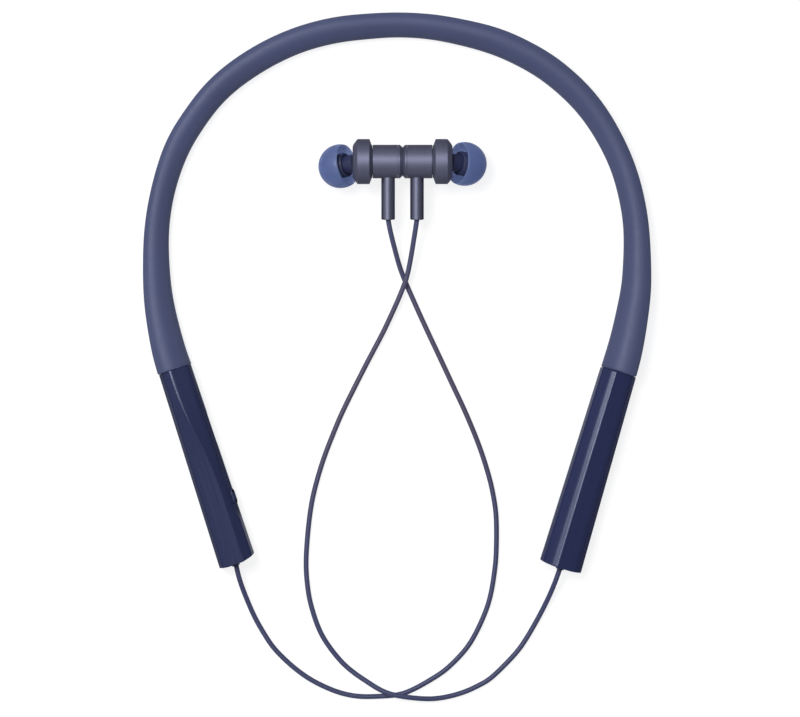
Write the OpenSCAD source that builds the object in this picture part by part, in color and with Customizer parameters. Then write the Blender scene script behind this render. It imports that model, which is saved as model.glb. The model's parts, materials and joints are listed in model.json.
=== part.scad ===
// Neckband earphones: a silicone neck sleeve over a memory wire, a control pod
// and a battery pod at its ends, and two metal in-ear buds that latch back to
// back by magnets.  They lie face up on the plane z = 0, wearer's left at -X.

/* [Neckband sleeve] */
// Height of the sleeve as a share of its width
band_flat = 0.93; // [0.85:0.01:1]
// Radius of the channel that holds the wire and the leads
channel_r = 2.1; // [1.9:0.05:2.2]
// Radius of the spring-steel memory wire
wire_r = 0.5; // [0.35:0.05:0.5]
// Radius of the bundle of insulated leads
lead_r = 0.6; // [0.4:0.05:0.6]

/* [Pods] */
// Length of the control pod
left_len = 56.7; // [54:0.1:58]
// Width of the control pod at the sleeve
left_w0 = 9.3; // [9:0.1:10]
// Width of the control pod at its free end
left_w1 = 10.4; // [10:0.1:11]
// Length of the battery pod
right_len = 56.8; // [54:0.1:58]
// Width of the battery pod at the sleeve
right_w0 = 10.2; // [9.6:0.1:10.6]
// Width of the battery pod at its free end
right_w1 = 11.9; // [11:0.1:12.4]
// Height of both pods
pod_h = 9.8; // [9.4:0.1:10.4]
// Wall thickness of the pod shells
wall = 1.1; // [0.9:0.1:1.2]
// Height of the parting line between the shells
parting = 4.4; // [4:0.1:4.8]

/* [Key] */
// Length of the multi-function key
key_len = 4.4; // [4:0.1:5]
// Height of the key across its face
key_h = 2.4; // [2:0.1:2.6]
// How far the key stands proud
key_proud = 0.35; // [0.2:0.05:0.5]
// Distance of the key from the sleeve end of the pod
key_at = 38.5; // [36:0.5:41]

/* [Earbuds] */
// Radius of the bud's barrel
barrel_r = 4.65; // [4.3:0.05:4.7]
// Radius of the bud's flange
flange_r = 6.25; // [6:0.05:6.4]
// Radius of the stem
stem_r = 1.9; // [1.6:0.05:1.9]
// Length of the stem from the bud's axis
stem_len = 16.1; // [14:0.1:18]
// Downward lean of the stems
droop = 8; // [4:1:10]
// Angle of the nozzle off the bud's axis
nozzle_tilt = 30; // [26:1:30]
// Outer radius of the nozzle
nozzle_r = 2.45; // [2.3:0.05:2.5]
// Radius of the ear tip's dome
tip_r = 6.1; // [5.8:0.05:6.2]

/* [Cords] */
// Radius of the cords
cord_r = 0.7; // [0.6:0.05:0.75]

/* [Hidden] */
$fn = 64;
eps = 0.01;

// where each pod meets the sleeve, and the heading of its long axis
left_joint = [-61.9, -21.4];
left_turn = -72;
right_joint = [61.4, -22.1];
right_turn = -106.6;
// slant of each pod's free end, and the place of the crease along its top
left_skew = 4;
right_skew = 2;
left_crease = -0.03;
right_crease = 0.1;
// how far the cord leaves off each pod's middle
left_exit = -0.6;
right_exit = 0;
mid_z = parting;

// where the two buds meet, and the place of the nozzle's root on the front face
bud_x = 1.4;
bud_y = 36.2;
bud_z = 8.95;
stem_x = 4;
front_x = 13.8;
left_nozzle_turn = 20;
right_nozzle_turn = 10;
left_root_y = -0.6;
right_root_y = -0.3;
root_z = -0.8;
tip_out = 4;
tip_bore = nozzle_r + 0.1;

// sleeve centreline from the control pod round the neck to the battery pod: x, y, width
band_pts = [
  [-61.9, -21.4, 9.5], [-63.5, -16.5, 9.2], [-66, -5, 8.2], [-67, 4.5, 7.4], [-67, 17.5, 6.7],
  [-65, 29.5, 6.5], [-61, 41, 6.9], [-55, 50.5, 6.9], [-50, 56.5, 7], [-44, 61.5, 7.1],
  [-36, 66.5, 7.1], [-27, 70.5, 7], [-17.5, 73, 7], [-9, 74, 6.9], [0, 74.5, 6.7],
  [9, 74, 6.8], [17.5, 72.5, 7], [27, 70, 7.3], [35, 66.5, 7.3], [42.5, 62, 7.3],
  [50, 55.5, 7.2], [55, 49.5, 7], [59, 43, 6.8], [62.5, 35.5, 6.7], [65, 27, 6.8],
  [66.5, 17, 7], [66.5, 3, 8], [65.5, -4.5, 8.7], [64, -12.5, 9.3], [62.5, -18.5, 9.8],
  [61.4, -22.1, 9.9]];

// cord centrelines from the pod to the stem
left_pts = [
  [-44, -79.5, 3.9], [-42.5, -84, 2.1], [-40, -90, 0.9], [-37.5, -94.5, 0.75], [-34.5, -99, 0.75],
  [-30, -103.5, 0.75], [-25.5, -107, 0.75], [-21, -109.5, 0.75], [-16, -111.5, 0.75],
  [-11, -112.5, 0.75], [-5.5, -112.5, 0.75], [0.5, -112, 0.75], [4.5, -110.5, 0.75], [9, -108, 0.75],
  [13.5, -105, 0.75], [18.5, -100, 0.75], [21.5, -95.5, 0.75], [24.5, -89, 0.75], [26, -84, 0.75],
  [27, -78, 0.75], [27.5, -72.5, 0.75], [27.5, -62.5, 0.75], [26.5, -55.5, 0.75], [25, -49.5, 0.75],
  [22.5, -42, 0.75], [19, -33.5, 0.75], [15.5, -26, 0.75], [12, -18.5, 0.75], [8, -10, 0.75],
  [5.5, -4.5, 0.75], [3.5, 0, 0.85], [2, 3.5, 1.25], [0.5, 7.5, 2.3], [-1, 13, 4.5], [-2, 17, 5.95]];
right_pts = [
  [44, -80, 4], [42, -85, 2.2], [39, -91, 0.95], [35.5, -97, 0.75], [32.5, -101, 0.75],
  [26.5, -107, 0.75], [23.5, -109, 0.75], [18, -111.5, 0.8], [11.5, -113, 1.2], [6, -113, 1.95],
  [-1, -112, 2.4], [-5, -110.5, 2.1], [-9, -108, 1.5], [-12, -106, 1.1], [-15.5, -103, 0.8],
  [-19.5, -98, 0.75], [-22, -93.5, 0.75], [-24, -87.5, 0.75], [-25, -82.5, 0.75], [-25.5, -75.5, 0.75],
  [-25, -67, 0.75], [-24, -59, 0.75], [-22.5, -52.5, 0.75], [-20.5, -46, 0.75], [-18, -39.5, 0.75],
  [-15, -32.5, 0.75], [-9, -20.5, 0.9], [-4, -11, 1.5], [-0.5, -3.5, 2.35], [1, 0, 2.7],
  [2.5, 4, 3.15], [3.5, 8.5, 3.9], [4.5, 14.5, 5.35]];

function unit(v) = v / norm(v);
function dir2(a) = [cos(a), sin(a)];
function cr(a, b, c, d, t) = 0.5 * (2 * b + (c - a) * t + (2 * a - 5 * b + 4 * c - d) * t * t + (3 * b - a - 3 * c + d) * t * t * t);
function at(P, i) = i < 0 ? 2 * P[0] - P[1] : i >= len(P) ? 2 * P[len(P) - 1] - P[len(P) - 2] : P[i];
function smooth(P, k) = [for (i = [0:len(P) - 2]) for (j = [0:k - 1]) cr(at(P, i - 1), P[i], P[i + 1], at(P, i + 2), j / k), P[len(P) - 1]];
function tan_at(C, i) = unit(at(C, i + 1) - at(C, i - 1));
// corner cutting that rounds a closed outline
function cut(P, n) = n == 0 ? P : cut([for (i = [0:len(P) - 1]) let (q = P[(i + 1) % len(P)]) each [0.75 * P[i] + 0.25 * q, 0.25 * P[i] + 0.75 * q]], n - 1);

// closed skin over rings of equal count
module loft(R) {
  n = len(R[0]);
  m = len(R);
  polyhedron(points = [for (r = R) each r], faces = concat(
    [[for (j = [0:n - 1]) j]],
    [for (i = [0:m - 2]) for (j = [0:n - 1]) each [
      [i * n + j, (i + 1) * n + j, (i + 1) * n + (j + 1) % n],
      [i * n + j, (i + 1) * n + (j + 1) % n, i * n + (j + 1) % n]]],
    [[for (j = [n - 1:-1:0]) (m - 1) * n + j]]), convexity = 8);
}
// closed skin between outer rings and inner rings, open through the middle
module pipe(A, B) {
  n = len(A[0]);
  m = len(A);
  o = n * m;
  polyhedron(points = concat([for (r = A) each r], [for (r = B) each r]), faces = concat(
    [for (i = [0:m - 2]) for (j = [0:n - 1]) let (k = (j + 1) % n) each [
      [i * n + j, (i + 1) * n + j, (i + 1) * n + k], [i * n + j, (i + 1) * n + k, i * n + k],
      [o + i * n + j, o + (i + 1) * n + k, o + (i + 1) * n + j], [o + i * n + j, o + i * n + k, o + (i + 1) * n + k]]],
    [for (j = [0:n - 1]) let (k = (j + 1) % n, e = (m - 1) * n) each [
      [j, k, o + k], [j, o + k, o + j],
      [e + k, e + j, o + e + j], [e + k, o + e + j, o + e + k]]]), convexity = 10);
}

// ---- sleeve ----
band_c = smooth(band_pts, 2);
function band_z(p) = p[2] * band_flat / 2;
function band_dir(i) = i == 0 ? dir2(left_turn + 180) : i == len(band_c) - 1 ? dir2(right_turn)
  : let (t = tan_at([for (p = band_c) [p[0], p[1]]], i)) t;
function oval(a, n) = [sign(cos(a)) * pow(abs(cos(a)), 2 / n), sign(sin(a)) * pow(abs(sin(a)), 2 / n)];
function band_ring(i, n) = let (p = band_c[i], t = band_dir(i), z = band_z(p))
  [for (j = [0:n - 1]) let (q = oval(j * 360 / n, 2.2)) [p[0] - t[1] * q[0] * p[2] / 2, p[1] + t[0] * q[0] * p[2] / 2, z + q[1] * z]];
function inner_z(i) = let (p = band_c[i], f = max(0, 1 - min(i, len(band_c) - 1 - i) / 6)) band_z(p) * (1 - f) + mid_z * f;
function inner_ring(i, n, r, off) = let (p = band_c[i], t = band_dir(i))
  [for (j = [0:n - 1]) let (y = r * cos(j * 360 / n) + off) [p[0] - t[1] * y, p[1] + t[0] * y, inner_z(i) + r * sin(j * 360 / n)]];
// a strand inside the sleeve that runs on into the pods by a and b
module strand(r, off, a, b, n) {
  m = len(band_c);
  R = [for (i = [0:m - 1]) inner_ring(i, n, r, off)];
  d0 = dir2(left_turn);
  d1 = dir2(right_turn);
  loft(concat([[for (p = R[0]) p + [d0[0], d0[1], 0] * a]], R, [[for (p = R[m - 1]) p + [d1[0], d1[1], 0] * b]]));
}
module neckband_sleeve() {
  color([0.32, 0.34, 0.46]) pipe([for (i = [0:len(band_c) - 1]) band_ring(i, 20)], [for (i = [0:len(band_c) - 1]) inner_ring(i, 20, channel_r, 0)]);
}
module memory_wire() { color("silver") strand(wire_r, 0.75, 5.2, 5.2, 6); }
module neckband_leads() { color("firebrick") strand(lead_r, -0.75, 8, 7, 6); }

// ---- pods: +X runs to the free end, +Y faces the wearer's neck ----
module in_left() { translate([left_joint[0], left_joint[1], 0]) rotate([0, 0, left_turn]) children(); }
module in_right() { translate([right_joint[0], right_joint[1], 0]) rotate([0, 0, right_turn]) mirror([0, 1, 0]) children(); }
function pod_outline(c) = cut([[-0.33, -0.04], [0.33, -0.04], [0.5, 0.14], [0.5, 0.42], [0.36, 0.83], [c + 0.02, 1], [c - 0.02, 1], [-0.36, 0.83], [-0.5, 0.42], [-0.5, 0.14]], 2);
// outline seen from above: tapered, with the free end's slant and small corners
function pod_plan(l, w0, w1, skew) = let (k = tan(skew), a = w0 / 2, b = w1 / 2) [
  [0, 0.25 - a], [0.3, -a], [l - 0.9 + b * k, -b], [l - 0.25 + b * k, 0.25 - b], [l + (b - 0.9) * k, 0.9 - b],
  [l - (b - 0.9) * k, b - 0.9], [l - 0.25 - b * k, b - 0.25], [l - 0.9 - b * k, b], [0.3, a], [0, a - 0.25]];
module pod_half(l, w0, w1, c, skew, e, top) {
  difference() {
    intersection() {
      translate([-1, 0, 0]) rotate([90, 0, 90]) linear_extrude(l + 3) polygon([for (q = pod_outline(c)) [q[0] * w1, q[1] * pod_h]]);
      translate([0, 0, top ? parting : 0]) linear_extrude(top ? 8 : parting) polygon(pod_plan(l, w0, w1, skew));
    }
    intersection() {
      translate([wall, 0, 0]) rotate([90, 0, 90]) linear_extrude(l - 1.9 - wall) polygon([for (q = pod_outline(c)) [q[0] * (w1 - 2 * wall), max(wall, wall + q[1] * (pod_h - 2 * wall))]]);
      translate([0, 0, -1]) linear_extrude(14) polygon([[-1, wall - w0 / 2], [l, wall - w1 / 2], [l, w1 / 2 - wall], [-1, w0 / 2 - wall]]);
    }
    translate([-1, 0, mid_z]) rotate([0, 90, 0]) cylinder(r = 1.9, h = wall + 2);
    translate([l - 3, e, mid_z]) rotate([0, 90, 0]) cylinder(r = 1.12, h = 4);
  }
}
module left_half(top) { pod_half(left_len, left_w0, left_w1, left_crease, left_skew, left_exit, top); }
module right_half(top) { pod_half(right_len, right_w0, right_w1, right_crease, right_skew, right_exit, top); }

// pill shape along X, pushed out along +Z
module pill(l, w, h) {
  translate([-(l - w) / 2, -w / 2, 0]) cube([l - w, w, h]);
  for (s = [-1, 1]) translate([s * (l - w) / 2, 0, 0]) cylinder(d = w, h = h);
}
// the key's face: out along the sloping inner flank
key_lean = 19;
key_z = 5.5;
key_y = left_w1 * (0.5 - 0.14 * (key_z / pod_h - 0.42) / 0.41);
module at_key() { translate([key_at, key_y, key_z]) rotate([key_lean - 90, 0, 0]) mirror([0, 1, 0]) children(); }
port_x = 18.5;
port_z = 2.6;
port_y = 4.62;
module at_port() { translate([port_x, 0, port_z]) rotate([-90, 0, 0]) children(); }

module control_top_shell() { color([0.16, 0.18, 0.31]) in_left() difference() {
  left_half(true);
  at_key() translate([0, 0, -3]) pill(key_len + 0.2, key_h + 0.2, 5);
} }
module control_bottom_shell() { color([0.16, 0.18, 0.31]) in_left() difference() {
  left_half(false);
  at_key() translate([0, 0, -3]) pill(key_len + 0.2, key_h + 0.2, 5);
  at_port() translate([0, 0, -2.4]) pill(9.04, 3.3, 10);
  translate([44, 0, -1]) cylinder(r = 0.45, h = 4);
  translate([34, 3.2, 2.6]) rotate([-90, 0, 0]) cylinder(r = 0.62, h = 4);
} }
module multi_function_key() { color([0.1, 0.11, 0.2]) in_left() at_key() difference() {
  union() {
    translate([0, 0, -1.7]) pill(key_len, key_h, 1.7 + key_proud);
    translate([0, 0, -2.1]) pill(key_len + 0.8, key_h + 0.6, 0.4);
  }
  difference() {
    translate([0, 0, key_proud - 0.22]) pill(key_len - 0.6, key_h - 0.6, 1);
    translate([0, 0, key_proud - 1.2]) cylinder(r = 0.55, h = 1.2);
  }
} }
module key_switch() { color("gray") in_left() {
  translate([key_at - 1.75, 0.55, 3.85]) cube([3.5, 1.35, 1.5]);
  at_key() translate([0, 0, -3.0]) cylinder(r = 0.5, h = 0.6);
} }
module main_board() { color("seagreen") in_left() difference() {
  translate([8.3, -2.8, 4.3]) cube([42, 5.6, 0.8]);
  translate([key_at - 2.6, 0.5, 4]) cube([5.2, 3, 3]);
} }
module bluetooth_chip() { color("silver") in_left() translate([24.5, -2.4, 5.1]) cube([7, 4.6, 1.2]); }
module flash_chip() { color([0.12, 0.12, 0.13]) in_left() translate([32.6, -2.2, 5.1]) cube([3, 3, 0.8]); }
module crystal() { color("gold") in_left() translate([20.5, -1.6, 5.1]) cube([3.2, 2.5, 0.7]); }
module bluetooth_antenna() { color("white") in_left() translate([46, -0.6, 5.1]) cube([3.2, 1.6, 1]); }
module microphone() { color("goldenrod") in_left() translate([42.2, -1.3, 3.2]) cube([3.6, 2.6, 1.1]); }
module status_led() { color("white") in_left() translate([33.2, 1.3, 3.5]) cube([1.6, 1, 0.8]); }
module led_light_pipe() { color("white") in_left() translate([34, 1.6, 2.6]) rotate([-90, 0, 0]) cylinder(r = 0.6, h = 3.3); }
module charge_port_shell() { color("silver") in_left() at_port() difference() {
  translate([0, 0, -2.3]) pill(8.94, 3.2, port_y + 2.3);
  translate([0, 0, -1.9]) pill(8.34, 2.6, 10);
} }
module charge_port_tongue() { color([0.1, 0.1, 0.1]) in_left() {
  translate([port_x - 3.3, -1.9, port_z - 0.35]) cube([6.6, port_y + 0.9, 0.7]);
} }
// bush with its groove in the pod's end wall; the cord starts at its outer face
module grommet(l, e) {
  translate([l - 2.6, e, mid_z]) rotate([0, 90, 0]) union() {
    cylinder(r = 1.6, h = 0.65);
    cylinder(r = 1.1, h = 3);
  }
}
module control_cord_grommet() { color([0.2, 0.21, 0.33]) in_left() grommet(left_len, left_exit); }
module battery_cord_grommet() { color([0.2, 0.21, 0.33]) in_right() grommet(right_len, right_exit); }
module sleeve_anchor() {
  translate([0, 0, mid_z]) rotate([0, 90, 0]) difference() {
    union() {
      translate([0, 0, -4.5]) cylinder(r = 1.85, h = 7);
      translate([0, 0, wall + 0.05]) cylinder(r = 2.9, h = 1.6);
    }
    translate([0, 0, -5]) cylinder(r = 1.55, h = 9);
  }
}
module left_sleeve_anchor() { color("dimgray") in_left() sleeve_anchor(); }
module right_sleeve_anchor() { color("dimgray") in_right() sleeve_anchor(); }
// the wire lies on the side away from the neck at both ends
module ferrule() { rotate([0, 90, 0]) difference() { cylinder(r = 0.85, h = 2); translate([0, 0, -1]) cylinder(r = wire_r + 0.02, h = 4); } }
module left_wire_ferrule() { color("silver") in_left() translate([3, 0.75 * wire_side(true), mid_z]) ferrule(); }
module right_wire_ferrule() { color("silver") in_right() translate([3, 0.75 * wire_side(false), mid_z]) ferrule(); }
function wire_side(left) = -1;

module battery_top_shell() { color([0.16, 0.18, 0.31]) in_right() right_half(true); }
module battery_bottom_shell() { color([0.16, 0.18, 0.31]) in_right() right_half(false); }
module battery_foam_pad() { color("dimgray") in_right() translate([11, -2.2, wall + 0.1]) cube([36, 4.4, 0.8]); }
module battery_cell() { color([0.75, 0.76, 0.8]) in_right() {
  translate([10, -1.2, mid_z - 2.3]) cube([38, 2.4, 4.6]);
  for (s = [-1, 1]) translate([10, s * 1.2, mid_z]) rotate([0, 90, 0]) cylinder(r = 2.3, h = 38);
} }
module battery_protection_board() { color("seagreen") in_right() translate([48.3, -3, 2.4]) cube([0.8, 6, 4.3]); }
module battery_leads() { color("firebrick") in_right() for (s = [-1, 1]) {
  translate([8.3, s * 0.8, 7.15]) rotate([0, 90, 0]) cylinder(r = 0.35, h = 43);
} }

// ---- earbuds: +X runs from the latching faces to the ear ----
module at_bud(left) { $left = left; translate([bud_x, bud_y, bud_z]) rotate([droop, 0, 0]) mirror([left ? 1 : 0, 0, 0]) children(); }
module turned(P) { rotate([90, 0, 90]) rotate_extrude($fn = 96) polygon(P); }
// the nozzle's own axis: +Z runs out into the ear
module at_nozzle() { translate([front_x, $left ? left_root_y : right_root_y, root_z]) rotate([droop_back, 0, 0]) rotate([$left ? -left_nozzle_turn : -right_nozzle_turn, 0, 0]) rotate([0, 90 + nozzle_tilt, 0]) children(); }
droop_back = -droop;

module barrel() { difference() {
  turned([[3.7, 1.25], [barrel_r, 1.25], [barrel_r, 8.3], [3.7, 8.3]]);
  translate([stem_x, 0, 0]) rotate([90, 0, 0]) cylinder(r = stem_r + 0.03, h = 8);
} }
module back_cap() { turned([[0, 0], [4, 0], [barrel_r, 0.75], [barrel_r, 1.25], [3.65, 1.25], [3.65, 2.2], [3.3, 2.2], [3.3, 0.5], [0, 0.5]]); }
module latch_magnet() { translate([0.55, 0, 0]) rotate([0, 90, 0]) cylinder(r = 3.2, h = 1.6); }
module front_housing() { difference() {
  union() {
    turned([[3.05, 6.9], [3.65, 6.9], [3.65, 8.3], [barrel_r, 8.3], [barrel_r, 8.45], [flange_r, 9.15], [flange_r, 12.45], [5.6, 13.0], [4.9, 13.5], [4.35, front_x],
      [0, front_x], [0, 12.8], [5.25, 12.8], [5.25, 9.6], [3.05, 9.6]]);
    difference() {
      at_nozzle() translate([0, 0, -3]) cylinder(r = nozzle_r, h = 7.6);
      translate([-5, -8, -8]) cube([front_x + 4, 16, 16]);
    }
  }
  at_nozzle() translate([0, 0, -4]) cylinder(r = 1.7, h = 10);
  at_nozzle() translate([0, 0, 4.1]) cylinder(r = 2.1, h = 2);
} }
module driver_frame() { turned([[0, 9.65], [5.2, 9.65], [5.2, 12.2], [4.9, 12.2], [4.9, 10], [0, 10]]); }
module driver_magnet() { translate([10.05, 0, 0]) rotate([0, 90, 0]) cylinder(r = 3, h = 1.5); }
module driver_diaphragm() { turned([[0, 12.35], [2.2, 12.3], [2.5, 12.22], [5.15, 12.22], [5.15, 12.3], [2.5, 12.34], [2.2, 12.42], [0, 12.5]]); }
module nozzle_mesh() { at_nozzle() translate([0, 0, 4.15]) cylinder(r = 2.05, h = 0.2); }
module stem() { translate([stem_x, 0, 0]) rotate([90, 0, 0]) difference() {
  translate([0, 0, 3.75]) cylinder(r = stem_r, h = stem_len - 3.75);
  translate([0, 0, 3]) cylinder(r = 1.1, h = 20);
} }
module stem_grommet() { translate([stem_x, 0, 0]) rotate([90, 0, 0]) translate([0, 0, stem_len - 4]) cylinder(r = 1.08, h = 4); }
// domed skirt that hangs back from the crown, and a core that grips the nozzle
function arc(r, a0, a1, n) = [for (i = [0:n]) let (a = a0 + (a1 - a0) * i / n) [r * cos(a), tip_out + r * sin(a)]];
module ear_tip() { at_nozzle() rotate_extrude($fn = 72) polygon(concat(
  arc(tip_r, -20, 68, 14), [[2.2, tip_out + tip_r - 0.7], [2.05, tip_out + tip_r - 1.1], [2.05, 4.65], [tip_bore, 4.65], [tip_bore, 2], [tip_bore + 0.75, 2], [tip_bore + 0.9, tip_out + 2.2], [tip_bore + 1.6, tip_out + 3.6]],
  arc(tip_r - 0.6, 42, -20, 10))); }

module left_barrel() { color([0.28, 0.28, 0.37]) at_bud(true) barrel(); }
module left_back_cap() { color([0.3, 0.3, 0.39]) at_bud(true) back_cap(); }
module left_latch_magnet() { color("gray") at_bud(true) latch_magnet(); }
module left_front_housing() { color([0.28, 0.28, 0.37]) at_bud(true) front_housing(); }
module left_driver_frame() { color("gray") at_bud(true) driver_frame(); }
module left_driver_magnet() { color("silver") at_bud(true) driver_magnet(); }
module left_driver_diaphragm() { color("khaki") at_bud(true) driver_diaphragm(); }
module left_nozzle_mesh() { color("silver") at_bud(true) nozzle_mesh(); }
module left_stem() { color([0.4, 0.4, 0.5]) at_bud(true) stem(); }
module left_stem_grommet() { color([0.2, 0.21, 0.33]) at_bud(true) stem_grommet(); }
module left_ear_tip() { color([0.35, 0.4, 0.58]) at_bud(true) ear_tip(); }
module right_barrel() { color([0.28, 0.28, 0.37]) at_bud(false) barrel(); }
module right_back_cap() { color([0.3, 0.3, 0.39]) at_bud(false) back_cap(); }
module right_latch_magnet() { color("gray") at_bud(false) latch_magnet(); }
module right_front_housing() { color([0.28, 0.28, 0.37]) at_bud(false) front_housing(); }
module right_driver_frame() { color("gray") at_bud(false) driver_frame(); }
module right_driver_magnet() { color("silver") at_bud(false) driver_magnet(); }
module right_driver_diaphragm() { color("khaki") at_bud(false) driver_diaphragm(); }
module right_nozzle_mesh() { color("silver") at_bud(false) nozzle_mesh(); }
module right_stem() { color([0.4, 0.4, 0.5]) at_bud(false) stem(); }
module right_stem_grommet() { color([0.2, 0.21, 0.33]) at_bud(false) stem_grommet(); }
module right_ear_tip() { color([0.35, 0.4, 0.58]) at_bud(false) ear_tip(); }

// ---- cords ----
function pod_end(j, turn, l, e) = let (d = dir2(turn)) [j[0] + d[0] * (l + 0.4) - d[1] * e, j[1] + d[1] * (l + 0.4) + d[0] * e, mid_z];
function stem_end(left) = [bud_x + (left ? -stem_x : stem_x), bud_y - stem_len * cos(droop), bud_z - stem_len * sin(droop)];
// evenly spaced rings along a smooth run through the points
function lengths(C) = [for (i = 0, s = 0; i < len(C); s = s + (i + 1 < len(C) ? norm(C[i + 1] - C[i]) : 0), i = i + 1) s];
function find(S, v, i) = i >= len(S) - 2 || S[i + 1] > v ? i : find(S, v, i + 1);
function spaced(C, n) = let (S = lengths(C), L = S[len(S) - 1])
  [for (k = [0:n]) let (v = L * k / n, i = find(S, v, 0), f = (v - S[i]) / (S[i + 1] - S[i])) C[i] * (1 - f) + C[i + 1] * f];
module cord(P, n, d0, d1) {
  C = spaced(smooth(P, 5), n);
  loft([for (i = [0:n]) let (t = i == 0 ? d0 : i == n ? d1 : tan_at(C, i), s = unit([-t[1], t[0], 0]), b = cross(t, s))
    [for (j = [0:7]) C[i] + cord_r * (cos(j * 45) * s + sin(j * 45) * b)]]);
}
module left_cord() { color([0.26, 0.27, 0.41]) cord(concat([pod_end(left_joint, left_turn, left_len, left_exit)], left_pts, [stem_end(true)]), 40, [cos(left_turn), sin(left_turn), 0], [0, cos(droop), sin(droop)]); }
module right_cord() { color([0.26, 0.27, 0.41]) cord(concat([pod_end(right_joint, right_turn, right_len, -right_exit)], right_pts, [stem_end(false)]), 40, [cos(right_turn), sin(right_turn), 0], [0, cos(droop), sin(droop)]); }

neckband_sleeve();
memory_wire();
neckband_leads();
left_sleeve_anchor();
right_sleeve_anchor();
left_wire_ferrule();
right_wire_ferrule();
control_top_shell();
control_bottom_shell();
control_cord_grommet();
main_board();
bluetooth_chip();
flash_chip();
bluetooth_antenna();
crystal();
key_switch();
multi_function_key();
charge_port_shell();
charge_port_tongue();
microphone();
status_led();
led_light_pipe();
battery_top_shell();
battery_bottom_shell();
battery_cord_grommet();
battery_cell();
battery_protection_board();
battery_foam_pad();
battery_leads();
left_cord();
right_cord();
left_barrel();
left_back_cap();
left_latch_magnet();
left_front_housing();
left_driver_frame();
left_driver_magnet();
left_driver_diaphragm();
left_nozzle_mesh();
left_stem();
left_stem_grommet();
left_ear_tip();
right_barrel();
right_back_cap();
right_latch_magnet();
right_front_housing();
right_driver_frame();
right_driver_magnet();
right_driver_diaphragm();
right_nozzle_mesh();
right_stem();
right_stem_grommet();
right_ear_tip();
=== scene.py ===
import json
import math

import bmesh
import bpy
import numpy as np
from mathutils import Matrix, Vector


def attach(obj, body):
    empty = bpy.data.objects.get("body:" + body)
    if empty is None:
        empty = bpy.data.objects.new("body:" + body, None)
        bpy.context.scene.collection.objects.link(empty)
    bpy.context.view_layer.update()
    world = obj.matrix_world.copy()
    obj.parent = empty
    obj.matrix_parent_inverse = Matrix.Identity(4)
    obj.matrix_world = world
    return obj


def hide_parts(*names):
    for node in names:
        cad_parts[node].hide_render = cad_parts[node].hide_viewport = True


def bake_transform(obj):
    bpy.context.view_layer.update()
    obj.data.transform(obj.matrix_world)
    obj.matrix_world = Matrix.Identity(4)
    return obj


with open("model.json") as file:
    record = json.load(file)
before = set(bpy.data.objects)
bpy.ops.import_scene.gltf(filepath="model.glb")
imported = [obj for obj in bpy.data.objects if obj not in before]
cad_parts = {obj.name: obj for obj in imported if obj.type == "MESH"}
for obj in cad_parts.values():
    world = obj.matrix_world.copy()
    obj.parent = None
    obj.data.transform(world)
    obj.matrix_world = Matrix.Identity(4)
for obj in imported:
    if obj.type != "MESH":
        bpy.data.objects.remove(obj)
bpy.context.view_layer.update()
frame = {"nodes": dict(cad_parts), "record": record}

MM = 0.001

# ------------------------------------------------------------------ camera
cam_data = bpy.data.cameras.new("camera")
cam_data.lens = 200
cam_data.sensor_width = 36
cam_data.clip_start = 0.05
cam_data.clip_end = 20
cam = bpy.data.objects.new("camera", cam_data)
bpy.context.scene.collection.objects.link(cam)
cam.location = (0.000694, -0.01833, 1.2396)
cam.rotation_euler = (0, 0, 0)
bpy.context.scene.camera = cam
bpy.context.scene.view_settings.view_transform = "Standard"
bpy.context.scene.view_settings.look = "None"
bpy.context.scene.view_settings.exposure = 0
bpy.context.scene.view_settings.gamma = 1

# ------------------------------------------------------------------ the design's own dimensions, in millimetres
LEFT_JOINT, LEFT_TURN, LEFT_LEN, LEFT_W = (-61.9, -21.4), -72.0, 56.7, (9.3, 10.4)
RIGHT_JOINT, RIGHT_TURN, RIGHT_LEN, RIGHT_W = (61.4, -22.1), -106.6, 56.8, (10.2, 11.9)
POD_H, MID_Z, WALL = 9.8, 4.4, 1.1
BAND_FLAT, CHANNEL_R = 0.93, 2.1
LEFT_EXIT, RIGHT_EXIT = -0.6, 0.0
BUD, DROOP, STEM_X, STEM_LEN, STEM_R = (1.4, 36.2, 8.95), 8.0, 4.0, 16.1, 1.9
BARREL_R, FLANGE_R, FRONT_X = 4.65, 6.25, 13.8
NOZZLE_TILT, NOZZLE_TURN, ROOT_Y, ROOT_Z = 30.0, {-1: 20.0, 1: 10.0}, {-1: -0.6, 1: -0.3}, -0.8
NOZZLE_R, TIP_BORE, TIP_OUT, TIP_R = 2.45, 2.55, 4.0, 6.1
CORD_R = 0.7

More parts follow.
